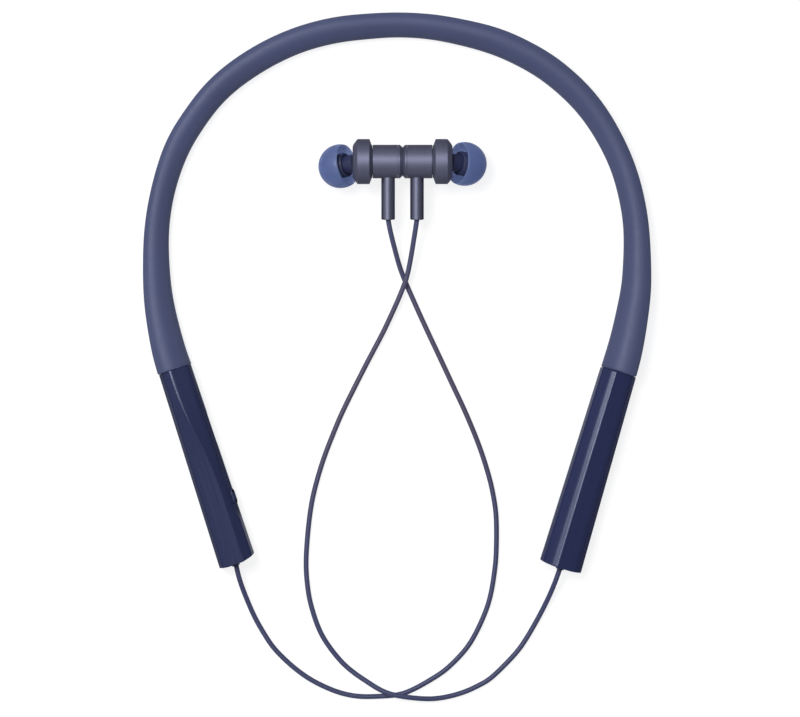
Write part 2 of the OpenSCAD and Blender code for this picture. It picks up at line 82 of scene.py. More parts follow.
BAND = [
    (-61.9, -21.4, 9.5), (-63.5, -16.5, 9.2), (-66, -5, 8.2), (-67, 4.5, 7.4), (-67, 17.5, 6.7),
    (-65, 29.5, 6.5), (-61, 41, 6.9), (-55, 50.5, 6.9), (-50, 56.5, 7), (-44, 61.5, 7.1),
    (-36, 66.5, 7.1), (-27, 70.5, 7), (-17.5, 73, 7), (-9, 74, 6.9), (0, 74.5, 6.7),
    (9, 74, 6.8), (17.5, 72.5, 7), (27, 70, 7.3), (35, 66.5, 7.3), (42.5, 62, 7.3),
    (50, 55.5, 7.2), (55, 49.5, 7), (59, 43, 6.8), (62.5, 35.5, 6.7), (65, 27, 6.8),
    (66.5, 17, 7), (66.5, 3, 8), (65.5, -4.5, 8.7), (64, -12.5, 9.3), (62.5, -18.5, 9.8),
    (61.4, -22.1, 9.9)]
LEFT_CORD = [
    (-44, -79.5, 3.9), (-42.5, -84, 2.1), (-40, -90, 0.9), (-37.5, -94.5, 0.75), (-34.5, -99, 0.75),
    (-30, -103.5, 0.75), (-25.5, -107, 0.75), (-21, -109.5, 0.75), (-16, -111.5, 0.75),
    (-11, -112.5, 0.75), (-5.5, -112.5, 0.75), (0.5, -112, 0.75), (4.5, -110.5, 0.75), (9, -108, 0.75),
    (13.5, -105, 0.75), (18.5, -100, 0.75), (21.5, -95.5, 0.75), (24.5, -89, 0.75), (26, -84, 0.75),
    (27, -78, 0.75), (27.5, -72.5, 0.75), (27.5, -62.5, 0.75), (26.5, -55.5, 0.75), (25, -49.5, 0.75),
    (22.5, -42, 0.75), (19, -33.5, 0.75), (15.5, -26, 0.75), (12, -18.5, 0.75), (8, -10, 0.75),
    (5.5, -4.5, 0.75), (3.5, 0, 0.85), (2, 3.5, 1.25), (0.5, 7.5, 2.3), (-1, 13, 4.5), (-2, 17, 5.95)]
RIGHT_CORD = [
    (44, -80, 4), (42, -85, 2.2), (39, -91, 0.95), (35.5, -97, 0.75), (32.5, -101, 0.75),
    (26.5, -107, 0.75), (23.5, -109, 0.75), (18, -111.5, 0.8), (11.5, -113, 1.2), (6, -113, 1.95),
    (-1, -112, 2.4), (-5, -110.5, 2.1), (-9, -108, 1.5), (-12, -106, 1.1), (-15.5, -103, 0.8),
    (-19.5, -98, 0.75), (-22, -93.5, 0.75), (-24, -87.5, 0.75), (-25, -82.5, 0.75), (-25.5, -75.5, 0.75),
    (-25, -67, 0.75), (-24, -59, 0.75), (-22.5, -52.5, 0.75), (-20.5, -46, 0.75), (-18, -39.5, 0.75),
    (-15, -32.5, 0.75), (-9, -20.5, 0.9), (-4, -11, 1.5), (-0.5, -3.5, 2.35), (1, 0, 2.7),
    (2.5, 4, 3.15), (3.5, 8.5, 3.9), (4.5, 14.5, 5.35)]


# ------------------------------------------------------------------ small geometry helpers
def unit(v):
    v = np.asarray(v, float)
    return v / np.linalg.norm(v)


def catmull(points, k):
    p = np.array(points, float)
    p = np.vstack([2 * p[0] - p[1], p, 2 * p[-1] - p[-2]])
    out = []
    for i in range(1, len(p) - 2):
        a, b, c, d = p[i - 1], p[i], p[i + 1], p[i + 2]
        for t in np.arange(k) / k:
            out.append(0.5 * (2 * b + (c - a) * t + (2 * a - 5 * b + 4 * c - d) * t * t + (3 * b - a - 3 * c + d) * t ** 3))
    out.append(p[-2])
    return np.array(out)


def resample(line, step):
    s = np.concatenate([[0], np.cumsum(np.linalg.norm(np.diff(line[:, :3], axis=0), axis=1))])
    at = np.linspace(0, s[-1], int(math.ceil(s[-1] / step)) + 1)
    return np.stack([np.interp(at, s, line[:, k]) for k in range(line.shape[1])], axis=1)


def smoothed(line, rounds, keep=1):
    line = line.copy()
    for _ in range(rounds):
        line[keep:-keep] = 0.25 * line[keep - 1:len(line) - keep - 1] + 0.5 * line[keep:-keep] + 0.25 * line[keep + 1:len(line) - keep + 1]
    return line


def tangents(line):
    t = np.gradient(line[:, :3], axis=0)
    return t / np.linalg.norm(t, axis=1)[:, None]


def ease(x):
    x = min(1.0, max(0.0, x))
    return x * x * (3 - 2 * x)


def fillet(points, radii, n=6, closed=True, lead=0.05):
    """Rounds each corner of an outline with an arc, and sets a point a little way off each end of it so that the flats shade flat."""
    p = [np.array(q, float) for q in points]
    out = []
    for i, q in enumerate(p):
        r = radii[i] if hasattr(radii, "__len__") else radii
        if not closed and i in (0, len(p) - 1) or r <= 0:
            out.append(q)
            continue
        a, b = p[i - 1], p[(i + 1) % len(p)]
        u, v = unit(a - q), unit(b - q)
        turn = math.acos(max(-1, min(1, float(u @ v))))
        if abs(math.pi - turn) < 1e-3:
            out.append(q)
            continue
        reach = min(r / math.tan(turn / 2), 0.46 * np.linalg.norm(a - q), 0.46 * np.linalg.norm(b - q))
        r = reach * math.tan(turn / 2)
        centre = q + unit(u + v) * r / math.sin(turn / 2)
        s, e = q + u * reach, q + v * reach
        if lead:
            out.append(s + u * min(lead, 0.3 * reach))
        a0, a1 = s - centre, e - centre
        swing = math.acos(max(-1, min(1, float(a0 @ a1) / (r * r))))
        for k in range(n + 1):
            t = k / n
            out.append(centre + (math.sin((1 - t) * swing) * a0 + math.sin(t * swing) * a1) / math.sin(swing))
        if lead:
            out.append(e + v * min(lead, 0.3 * reach))
    return np.array(out)


def rot(axis, degrees):
    return np.array(Matrix.Rotation(math.radians(degrees), 4, axis))


def shift(x, y, z):
    return np.array(Matrix.Translation((x, y, z)))


def place(points, m):
    points = np.asarray(points, float)
    return points @ m[:3, :3].T + m[:3, 3]


def new_object(name, verts, faces, material=None, smooth=True):
    me = bpy.data.meshes.new(name)
    me.from_pydata((np.asarray(verts, float) * MM).tolist(), [], [list(f) for f in faces])
    bm = bmesh.new()
    bm.from_mesh(me)
    bmesh.ops.remove_doubles(bm, verts=bm.verts, dist=1e-7)
    bmesh.ops.recalc_face_normals(bm, faces=bm.faces)
    bm.to_mesh(me)
    bm.free()
    me.polygons.foreach_set("use_smooth", [smooth] * len(me.polygons))
    me.update()
    ob = bpy.data.objects.new(name, me)
    bpy.context.scene.collection.objects.link(ob)
    if material:
        me.materials.append(material)
    return ob


def skin(rings, closed_ends=True, wrap=False):
    """Quads over rings of equal count. Ends are capped with fans, or the rings wrap round into a closed tube wall."""
    n, m = len(rings[0]), len(rings)
    verts = [p for r in rings for p in r]
    faces = []
    for i in range(m if wrap else m - 1):
        k = (i + 1) % m
        for j in range(n):
            l = (j + 1) % n
            faces.append((i * n + j, k * n + j, k * n + l, i * n + l))
    if closed_ends and not wrap:
        for i in (0, m - 1):
            verts.append(np.mean(rings[i], axis=0))
            c = len(verts) - 1
            for j in range(n):
                faces.append((i * n + j, i * n + (j + 1) % n, c))
    return verts, faces


def lathe(profile, matrix, seg=160, closed=True):
    """Turns an outline of (along, radius) about the local X axis."""
    rings = []
    for a in np.arange(seg) * 2 * math.pi / seg:
        c, s = math.cos(a), math.sin(a)
        rings.append([(x, r * c, r * s) for x, r in profile])
    n = len(profile)
    verts = [p for r in rings for p in r]
    faces = []
    for i in range(seg):
        k = (i + 1) % seg
        for j in range(n if closed else n - 1):
            l = (j + 1) % n
            f = (i * n + j, k * n + j, k * n + l, i * n + l)
            on_axis = profile[j][1] < 1e-6, profile[l][1] < 1e-6
            if all(on_axis):
                continue
            faces.append(f)
    return place(verts, matrix), faces


def cut(target, cutters, mode="DIFFERENCE"):
    """Takes cutters away from target and applies the result."""
    for c in cutters:
        mod = target.modifiers.new("cut", "BOOLEAN")
        mod.operation = mode
        mod.solver = "EXACT"
        mod.object = c
        dg = bpy.context.evaluated_depsgraph_get()
        me = bpy.data.meshes.new_from_object(target.evaluated_get(dg))
        target.modifiers.clear()
        old = target.data
        target.data = me
        bpy.data.meshes.remove(old)
    for c in cutters:
        bpy.data.objects.remove(c)
    bm = bmesh.new()  # weld and split into triangles, so that no sliver or folded face is left
    bm.from_mesh(target.data)
    bmesh.ops.remove_doubles(bm, verts=bm.verts, dist=4e-7)
    bmesh.ops.dissolve_degenerate(bm, edges=bm.edges, dist=4e-7)
    bmesh.ops.triangulate(bm, faces=bm.faces, ngon_method="BEAUTY")
    bm.to_mesh(target.data)
    bm.free()
    return target


def prism(outline, z0, z1, matrix, name="cutter"):
    low = [(x, y, z0) for x, y in outline]
    high = [(x, y, z1) for x, y in outline]
    v, f = skin([low, high])
    return new_object(name, place(v, matrix), f)


def circle(r, n=64, cx=0.0, cy=0.0):
    return [(cx + r * math.cos(2 * math.pi * k / n), cy + r * math.sin(2 * math.pi * k / n)) for k in range(n)]


def stadium(l, w, n=24):
    h = (l - w) / 2
    return ([(h + w / 2 * math.cos(a), w / 2 * math.sin(a)) for a in np.linspace(-math.pi / 2, math.pi / 2, n)]
            + [(-h - w / 2 * math.cos(a), -w / 2 * math.sin(a)) for a in np.linspace(-math.pi / 2, math.pi / 2, n)])


def smooth_by_angle(ob, degrees):
    """Marks edges sharper than this so that they shade crisply."""
    bm = bmesh.new()
    bm.from_mesh(ob.data)
    for e in bm.edges:
        if len(e.link_faces) == 2:
            e.smooth = e.calc_face_angle(0) < math.radians(degrees)
    bm.to_mesh(ob.data)
    bm.free()
    ob.data.polygons.foreach_set("use_smooth", [True] * len(ob.data.polygons))
    ob.data.update()
    return ob


# ------------------------------------------------------------------ materials
def srgb(r, g, b):
    return tuple(((c / 255) / 12.92 if c / 255 <= 0.04045 else ((c / 255 + 0.055) / 1.055) ** 2.4) for c in (r, g, b))


class Nodes:
    def __init__(self, name):
        self.m = bpy.data.materials.new(name)
        self.m.use_nodes = True
        self.t = self.m.node_tree
        self.s = self.t.nodes["Principled BSDF"]
        self.coord = self.t.nodes.new("ShaderNodeTexCoord")

    def add(self, kind, **props):
        n = self.t.nodes.new(kind)
        for k, v in props.items():
            setattr(n, k, v)
        return n

    def link(self, a, b):
        self.t.links.new(a, b)

    def mapped(self, scale=(1, 1, 1), turn=(0, 0, 0), at=(0, 0, 0)):
        n = self.add("ShaderNodeMapping")
        n.inputs["Scale"].default_value = scale
        n.inputs["Rotation"].default_value = turn
        n.inputs["Location"].default_value = at
        self.link(self.coord.outputs["Object"], n.inputs["Vector"])
        return n.outputs["Vector"]

    def noise(self, scale, detail=3, rough=0.5, vector=None):
        n = self.add("ShaderNodeTexNoise")
        n.inputs["Scale"].default_value = scale
        n.inputs["Detail"].default_value = detail
        n.inputs["Roughness"].default_value = rough
        self.link(vector or self.coord.outputs["Object"], n.inputs["Vector"])
        return n.outputs["Fac"]

    def ramp(self, fac, stops):
        n = self.add("ShaderNodeValToRGB")
        e = n.color_ramp.elements
        while len(e) < len(stops):
            e.new(0.5)
        for el, (at, c) in zip(e, stops):
            el.position = at
            el.color = (*c, 1)
        self.link(fac, n.inputs["Fac"])
        return n.outputs["Color"]

    def spread(self, fac, low, high, a=0.3, b=0.7):
        n = self.add("ShaderNodeMapRange")
        n.inputs["From Min"].default_value = a
        n.inputs["From Max"].default_value = b
        n.inputs["To Min"].default_value = low
        n.inputs["To Max"].default_value = high
        self.link(fac, n.inputs["Value"])
        return n.outputs["Result"]

    def mix(self, fac, a, b):
        n = self.add("ShaderNodeMix", data_type="RGBA")
        self.link(fac, n.inputs["Factor"])
        for sock, v in ((n.inputs["A"], a), (n.inputs["B"], b)):
            if isinstance(v, tuple):
                sock.default_value = (*v, 1)
            else:
                self.link(v, sock)
        return n.outputs["Result"]

    def bump(self, height, strength, distance):
        n = self.add("ShaderNodeBump")
        n.inputs["Strength"].default_value = strength
        n.inputs["Distance"].default_value = distance
        self.link(height, n.inputs["Height"])
        self.link(n.outputs["Normal"], self.s.inputs["Normal"])
        return n

    def set(self, **values):
        for k, v in values.items():
            self.s.inputs[k.replace("_", " ")].default_value = v
        return self


def plain(name, dark, light, scale, rough=(0.45, 0.6), metallic=0.0, bump=0.0, depth=0.00002, stretch=(1, 1, 1), bleed=None, **more):
    """A surface whose colour, roughness and relief come from one noise."""
    k = Nodes(name)
    v = k.mapped(stretch)
    f = k.noise(scale, 4, 0.55, v)
    k.link(k.ramp(f, [(0.3, dark), (0.7, light)]), k.s.inputs["Base Color"])
    k.link(k.spread(f, *rough), k.s.inputs["Roughness"])
    k.set(Metallic=metallic, **more)
    if bleed:
        k.s.inputs["Subsurface Radius"].default_value = bleed
    if bump:
        k.bump(k.noise(scale * 3, 3, 0.6, v), bump, depth)
    return k.m


def silicone_sleeve():
    k = Nodes("sleeve_silicone")
    broad = k.noise(38, 2, 0.5)
    grain = k.noise(5200, 3, 0.6)
    base = k.ramp(broad, [(0.3, srgb(69, 76, 110)), (0.7, srgb(73, 80, 115))])
    dusty = k.mix(k.spread(grain, 0, 0.35), base, srgb(86, 92, 123))
    k.link(dusty, k.s.inputs["Base Color"])
    k.link(k.spread(k.noise(900, 3, 0.5), 0.44, 0.52), k.s.inputs["Roughness"])
    k.bump(grain, 0.18, 0.00002)
    k.set(Sheen_Weight=0.1, Sheen_Roughness=0.45, Specular_IOR_Level=0.46)
    k.s.inputs["Sheen Tint"].default_value = (*srgb(150, 156, 190), 1)
    k.s.inputs["Specular Tint"].default_value = (0.78, 0.84, 1.0, 1)
    return k.m


def pod_lacquer(name, turn, low, high):
    """Dark satin lacquer with very fine flow lines along the pod."""
    k = Nodes(name)
    along = k.add("ShaderNodeMapping")
    along.inputs["Rotation"].default_value = (0, 0, math.radians(-turn))
    k.link(k.coord.outputs["Object"], along.inputs["Vector"])
    thin = k.add("ShaderNodeMapping")
    thin.inputs["Scale"].default_value = (0.03, 1, 1)
    k.link(along.outputs["Vector"], thin.inputs["Vector"])
    lines = k.noise(1400, 3, 0.6, thin.outputs["Vector"])
    fleck = k.noise(9000, 2, 0.5)
    base = k.ramp(lines, [(0.3, low), (0.7, high)])
    k.link(k.mix(k.spread(fleck, 0, 0.3, 0.45, 0.75), base, srgb(54, 60, 96)), k.s.inputs["Base Color"])
    k.link(k.spread(lines, 0.2, 0.26), k.s.inputs["Roughness"])
    k.bump(fleck, 0.05, 0.00001)
    k.set(Coat_Weight=0.12, Coat_Roughness=0.2, Specular_IOR_Level=0.8)
    k.s.inputs["Specular Tint"].default_value = (0.74, 0.8, 1.0, 1)
    return k.m


def turned_metal(name, low, high, rough, marks, fine=2600.0, metallic=1.0):
    """Anodised aluminium with turning marks round the axis."""
    k = Nodes(name)
    v = k.mapped((1, 0.01, 0.01))
    rings = k.noise(fine, 4, 0.7, v)
    cloud = k.noise(420, 2, 0.5)
    c = k.ramp(rings, [(0.25, low), (0.75, high)])
    k.link(k.mix(k.spread(cloud, 0, 0.12), c, tuple(x * 0.8 for x in low)), k.s.inputs["Base Color"])
    k.link(k.spread(rings, *rough), k.s.inputs["Roughness"])
    k.bump(rings, marks, 0.00001)
    k.set(Metallic=metallic)
    return k.m


def tip_silicone():
    k = Nodes("tip_silicone")
    f = k.noise(260, 2, 0.5)
    k.link(k.ramp(f, [(0.3, srgb(92, 107, 156)), (0.7, srgb(98, 113, 162))]), k.s.inputs["Base Color"])
    k.link(k.spread(k.noise(3000, 3, 0.5), 0.36, 0.46), k.s.inputs["Roughness"])
    k.bump(k.noise(6000, 2, 0.5), 0.05, 0.00001)
    k.set(Subsurface_Weight=0.95, Subsurface_Scale=0.003, Specular_IOR_Level=0.4, Sheen_Weight=0.12, Sheen_Roughness=0.4)
    k.s.inputs["Subsurface Radius"].default_value = (0.6, 0.7, 1.0)
    return k.m


def cord_jacket():
    k = Nodes("cord_jacket")
    grain = k.noise(4200, 3, 0.6)
    sep = k.add("ShaderNodeSeparateXYZ")
    k.link(k.coord.outputs["Object"], sep.inputs["Vector"])
    warm = k.ramp(k.spread(sep.outputs["Y"], 0, 1, -0.115, 0.02), [(0.0, srgb(54, 60, 98)), (0.35, srgb(58, 62, 100)), (0.62, srgb(74, 64, 90)), (0.82, srgb(76, 70, 98)), (1.0, srgb(70, 76, 110))])
    k.link(k.mix(k.spread(grain, 0, 0.3), warm, srgb(98, 102, 134)), k.s.inputs["Base Color"])
    k.link(k.spread(grain, 0.38, 0.5), k.s.inputs["Roughness"])
    k.bump(grain, 0.12, 0.00002)
    k.set(Specular_IOR_Level=0.45, Sheen_Weight=0.1, Sheen_Roughness=0.4)
    return k.m


M = {
    "sleeve_silicone": silicone_sleeve(),
    "left_lacquer": pod_lacquer("left_lacquer", LEFT_TURN, srgb(29, 37, 73), srgb(33, 41, 79)),
    "right_lacquer": pod_lacquer("right_lacquer", RIGHT_TURN, srgb(26, 33, 75), srgb(30, 37, 81)),
    "bud_metal": turned_metal("bud_metal", srgb(113, 115, 139), srgb(124, 126, 149), (0.48, 0.56), 0.12, metallic=0.76),
    "bud_cap_metal": turned_metal("bud_cap_metal", srgb(114, 116, 140), srgb(126, 128, 151), (0.44, 0.52), 0.08, metallic=0.8),
    "stem_metal": turned_metal("stem_metal", srgb(133, 135, 159), srgb(144, 146, 169), (0.34, 0.4), 0.03, 900.0),
    "tip_silicone": tip_silicone(),
    "cord_jacket": cord_jacket(),
    "spring_steel": plain("spring_steel", (0.32, 0.33, 0.34), (0.5, 0.5, 0.52), 1800, (0.25, 0.4), 1.0, 0.1, stretch=(1, 1, 1)),
    "lead_jacket": plain("lead_jacket", (0.24, 0.02, 0.02), (0.36, 0.04, 0.03), 900, (0.4, 0.5), bump=0.1),
    "anchor_nylon": plain("anchor_nylon", (0.06, 0.06, 0.07), (0.1, 0.1, 0.11), 1200, (0.45, 0.6), bump=0.1),
    "crimped_steel": plain("crimped_steel", (0.4, 0.4, 0.42), (0.56, 0.56, 0.58), 1500, (0.3, 0.45), 1.0, 0.2),
    "grommet_rubber": plain("grommet_rubber", srgb(44, 47, 74), srgb(54, 58, 88), 1500, (0.5, 0.65), bump=0.15),
    "circuit_board": plain("circuit_board", (0.01, 0.07, 0.03), (0.02, 0.12, 0.05), 1100, (0.3, 0.45), bump=0.12),
    "chip_epoxy": plain("chip_epoxy", (0.008, 0.008, 0.009), (0.02, 0.02, 0.022), 2500, (0.45, 0.6), bump=0.1),
    "ceramic": plain("ceramic", (0.66, 0.66, 0.62), (0.78, 0.78, 0.74), 1800, (0.25, 0.35), bump=0.05),
    "crystal_can": plain("crystal_can", (0.5, 0.46, 0.3), (0.62, 0.58, 0.4), 1500, (0.25, 0.4), 1.0, 0.1),
    "switch_metal": plain("switch_metal", (0.42, 0.42, 0.44), (0.6, 0.6, 0.62), 1600, (0.25, 0.4), 1.0, 0.1),
    "key_plastic": plain("key_plastic", srgb(46, 52, 92), srgb(54, 60, 102), 2200, (0.3, 0.42), bump=0.1, Coat_Weight=0.2, Coat_Roughness=0.2),
    # on the key's dished pads this near-black serves as painted shade
    "key_pad": plain("key_pad", srgb(14, 16, 36), srgb(19, 21, 44), 2600, (0.35, 0.5), bump=0.12),
    "port_steel": plain("port_steel", (0.5, 0.5, 0.52), (0.66, 0.67, 0.69), 2000, (0.2, 0.32), 1.0, 0.08, stretch=(1, 1, 0.1)),
    "port_tongue": plain("port_tongue", (0.006, 0.006, 0.007), (0.015, 0.015, 0.017), 2500, (0.4, 0.5), bump=0.08),
    "mic_can": plain("mic_can", (0.5, 0.34, 0.1), (0.64, 0.46, 0.16), 1500, (0.25, 0.4), 1.0, 0.1),
    "led_epoxy": plain("led_epoxy", (0.72, 0.72, 0.66), (0.82, 0.82, 0.78), 2000, (0.15, 0.25), bump=0.05),
    "light_pipe": plain("light_pipe", (0.62, 0.63, 0.68), (0.74, 0.75, 0.8), 1800, (0.2, 0.3), bump=0.05, Transmission_Weight=0.35),
    "cell_pouch": plain("cell_pouch", (0.5, 0.5, 0.53), (0.66, 0.66, 0.69), 420, (0.3, 0.45), 1.0, 0.3, 0.00005),
    "foam": plain("foam", (0.01, 0.01, 0.011), (0.04, 0.04, 0.042), 3200, (0.8, 0.95), bump=0.6, depth=0.00008),
    "magnet_nickel": plain("magnet_nickel", (0.52, 0.52, 0.53), (0.66, 0.66, 0.67), 900, (0.12, 0.24), 1.0, 0.05),
    "driver_basket": plain("driver_basket", (0.28, 0.28, 0.3), (0.4, 0.4, 0.42), 1500, (0.3, 0.45), 1.0, 0.1),
    "diaphragm_film": plain("diaphragm_film", (0.5, 0.44, 0.24), (0.62, 0.56, 0.34), 900, (0.15, 0.3), bump=0.1),
}


def mesh_steel():
    k = Nodes("mesh_steel")
    waves = []
    for turn in (45, -45):
        v = k.mapped((1, 1, 1), (0, 0, math.radians(turn)))
        w = k.add("ShaderNodeTexWave", wave_type="BANDS", bands_direction="X")
        w.inputs["Scale"].default_value = 1500
        k.link(v, w.inputs["Vector"])
        waves.append(w.outputs["Fac"])
    both = k.add("ShaderNodeMath", operation="MULTIPLY")
    k.link(waves[0], both.inputs[0])
    k.link(waves[1], both.inputs[1])
    k.link(k.ramp(both.outputs[0], [(0.1, (0.03, 0.03, 0.035)), (0.6, (0.35, 0.35, 0.38))]), k.s.inputs["Base Color"])
    k.bump(both.outputs[0], 0.6, 0.00006)
    k.set(Metallic=0.8, Roughness=0.4)
    return k.m


M["mesh_steel"] = mesh_steel()
# painted shade: the nozzle, part of the metal housing, is coloured darker and bluer than the housing for the shade
# under the ear tip
M["nozzle_painted_shade"] = plain("nozzle_painted_shade", srgb(44, 49, 82), srgb(52, 57, 92), 1800, (0.4, 0.5), bump=0.08)
M["tip_core"] = plain("tip_core", srgb(52, 58, 92), srgb(60, 66, 102), 2200, (0.42, 0.52), bump=0.08, bleed=(0.6, 0.7, 1.0), Subsurface_Weight=0.3, Subsurface_Scale=0.0006)
# the skirt's inner wall: real subsurface glow, plus a much lighter copy of the tip's silicone colour as painted light
# for the glow through the thin skirt
M["tip_inner_painted_glow"] = plain("tip_inner_painted_glow", srgb(128, 138, 178), srgb(138, 148, 188), 2400, (0.4, 0.5), bump=0.06, bleed=(0.85, 0.9, 1.0), Subsurface_Weight=0.9, Subsurface_Scale=0.0025)


def tint(ob, m, material, test):
    """Gives the faces whose middle passes the test, in the frame m, another material."""
    ob.data.materials.append(material)
    k, inv = len(ob.data.materials) - 1, np.linalg.inv(np.array(m))
    for poly in ob.data.polygons:
        q = inv @ np.array([*(c / MM for c in poly.center), 1.0])
        if test(q[0], math.hypot(q[1], q[2])):
            poly.material_index = k

# ------------------------------------------------------------------ cords, first of the pieces


def pod_end(joint, turn, length, off):
    a = math.radians(turn)
    return (joint[0] + math.cos(a) * (length + 0.4) - math.sin(a) * off, joint[1] + math.sin(a) * (length + 0.4) + math.cos(a) * off, MID_Z)


def stem_end(side):
    c, s = math.cos(math.radians(DROOP)), math.sin(math.radians(DROOP))
    return (BUD[0] + side * STEM_X, BUD[1] - STEM_LEN * c, BUD[2] - STEM_LEN * s)


def cord_line(start, points, end, d0, d1):
    """Smooth run through the route's points that leaves and arrives straight."""
    line = catmull([start, *points, end], 10)
    line = resample(line, 0.45)
    line = smoothed(line, 14)
    line = resample(line, 0.45)
    line[:, 2] = np.maximum(line[:, 2], CORD_R + 0.03)
    t = tangents(line)
    t[0], t[-1] = d0, d1
    return line, t


def tube(name, line, t, r, material, sides=20):
    rings = []
    for p, d in zip(line, t):
        s = unit((-d[1], d[0], 0))
        b = np.cross(d, s)
        rings.append([p + r * (math.cos(a) * s + math.sin(a) * b) for a in np.arange(sides) * 2 * math.pi / sides])
    v, f = skin(rings)
    return new_object(name, v, f, material)


cords = {}
for name, side, joint, turn, length, off, points in (
        ("left_cord_jacket", -1, LEFT_JOINT, LEFT_TURN, LEFT_LEN, LEFT_EXIT, LEFT_CORD),
        ("right_cord_jacket", 1, RIGHT_JOINT, RIGHT_TURN, RIGHT_LEN, -RIGHT_EXIT, RIGHT_CORD)):
    a = math.radians(turn)
    line, t = cord_line(pod_end(joint, turn, length, off), points, stem_end(side), (math.cos(a), math.sin(a), 0),
                        (0, math.cos(math.radians(DROOP)), math.sin(math.radians(DROOP))))
    cords[name] = (tube(name, line, t, CORD_R, M["cord_jacket"]), line)
for name, (ob, line) in cords.items():
    node, bud = ("left_cord", "left_earbud") if name.startswith("left") else ("right_cord", "right_earbud")
    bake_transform(ob)
    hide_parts(node)

# ------------------------------------------------------------------ sleeve


LEAN, LEAN_GAIN = 0.27, 1.036  # the sleeve's crown leans away from the neck


def sleeve():
    c = catmull(BAND, 8)
    c = resample(c, 1.1)
    c = smoothed(c, 10)
    m = len(c)
    d = tangents(np.column_stack([c[:, 0], c[:, 1], np.zeros(m)]))
    a0, a1 = math.radians(LEFT_TURN + 180), math.radians(RIGHT_TURN)
    d[0], d[-1] = (math.cos(a0), math.sin(a0), 0), (math.cos(a1), math.sin(a1), 0)
    n = 56
    angles = np.arange(n) * 2 * math.pi / n

    def ring(p, t, inset=0.0, along=0.0, r=None, lift=0.0):
        w, z = p[2] / 2, p[2] * BAND_FLAT / 2
        out = []
        for a in angles:
            ca, sa = math.cos(a), math.sin(a)
            if r is None:
                q = (math.copysign(abs(ca) ** (2 / 2.2), ca) * (w - inset), math.copysign(abs(sa) ** (2 / 2.2), sa) * (z - inset))
                q = (q[0] / LEAN_GAIN + LEAN * w * q[1] / z, q[1])
                h = z
            else:
                q, h = (ca * r, sa * r), lift
            out.append((p[0] - t[1] * q[0] + t[0] * along, p[1] + t[0] * q[0] + t[1] * along, h + q[1]))
        return out

    def lift(i):  # height of the channel
        f = max(0.0, 1 - min(i, m - 1 - i) * 1.1 / 13)
        return c[i][2] * BAND_FLAT / 2 * (1 - f) + MID_Z * f

    outer = []
    e0, e1 = 0.22, 0.55  # how round the sleeve's ends are
    for k in range(6):
        a = math.pi / 2 * k / 5
        outer.append(ring(c[0], d[0], e0 * (1 - math.sin(a)), 0.04 + e0 * (1 - math.cos(a))))
    outer += [ring(c[i], d[i]) for i in range(1, m - 1)]
    for k in range(6):
        a = math.pi / 2 * (1 - k / 5)
        outer.append(ring(c[-1], d[-1], e1 * (1 - math.sin(a)), -0.02 - e1 * (1 - math.cos(a))))
    end_inner = ring(c[-1], d[-1], r=CHANNEL_R, lift=MID_Z, along=-0.02)
    start_inner = ring(c[0], d[0], r=CHANNEL_R, lift=MID_Z, along=0.04)
    inner = [ring(c[i], d[i], r=CHANNEL_R, lift=lift(i)) for i in range(m - 2, 0, -1)]
    v, f = skin(outer + [end_inner] + inner + [start_inner], wrap=True)
    ob = new_object("sleeve_skin", v, f, M["sleeve_silicone"])
    return smooth_by_angle(ob, 50)


ob = sleeve()
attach(ob, "neckband")
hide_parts("neckband_sleeve")

# ------------------------------------------------------------------ pods
LEFT_POD = shift(*LEFT_JOINT, 0) @ rot("Z", LEFT_TURN)
RIGHT_POD = shift(*RIGHT_JOINT, 0) @ rot("Z", RIGHT_TURN) @ np.diag([1.0, -1.0, 1.0, 1.0])


def pod_section(w, h, crest, soft, knee=None, wall=0.0, groove=0.1):
    """Closed outline seen along the pod: flat foot, upright sides with the parting groove, sloping flanks and a roof with a ridge."""
    z = h / POD_H
    pts, radii = [(-0.31 * w, 0.0), (0.31 * w, 0.0), (0.5 * w, 0.16 * h)], [1.4, 1.4, 1.6]
    # the side's line at the parting height, right then left
    pts += [(0.5 * w, MID_Z - 0.13), (0.5 * w - groove, MID_Z), (0.5 * w - 0.005, MID_Z + 0.13), (0.497 * w, 0.49 * h), (0.365 * w, 0.83 * h), (crest * w, 0.985 * h),
            (-0.365 * w, 0.83 * h), (-0.497 * w, 0.49 * h), (-0.5 * w + 0.005, MID_Z + 0.13), (-0.5 * w + groove, MID_Z), (-0.5 * w, MID_Z - 0.13), (-0.5 * w, 0.16 * h)]
    radii += [0.03, 0.0, 0.03, 1.8, 2.6, soft, 2.6, 1.8, 0.03, 0.0, 0.03, 1.6]
    pts[6] = (0.497 * w + wall * 0.003 * w, 0.49 * h)
    pts[7] = (0.365 * w + wall * (0.135 * w - 0.6), (0.83 - 0.05 * wall) * h)
    radii[7] = 2.6 - 1.2 * wall
    if knee:  # one soft break in the plane on the neck's side
        pts[7] = (0.375 * w + wall * (0.125 * w - 0.6), (0.8 - 0.03 * wall) * h)
        pts.insert(8, (knee * w, 0.922 * h))
        radii.insert(8, 5.0)
    return fillet(pts, radii, 7)


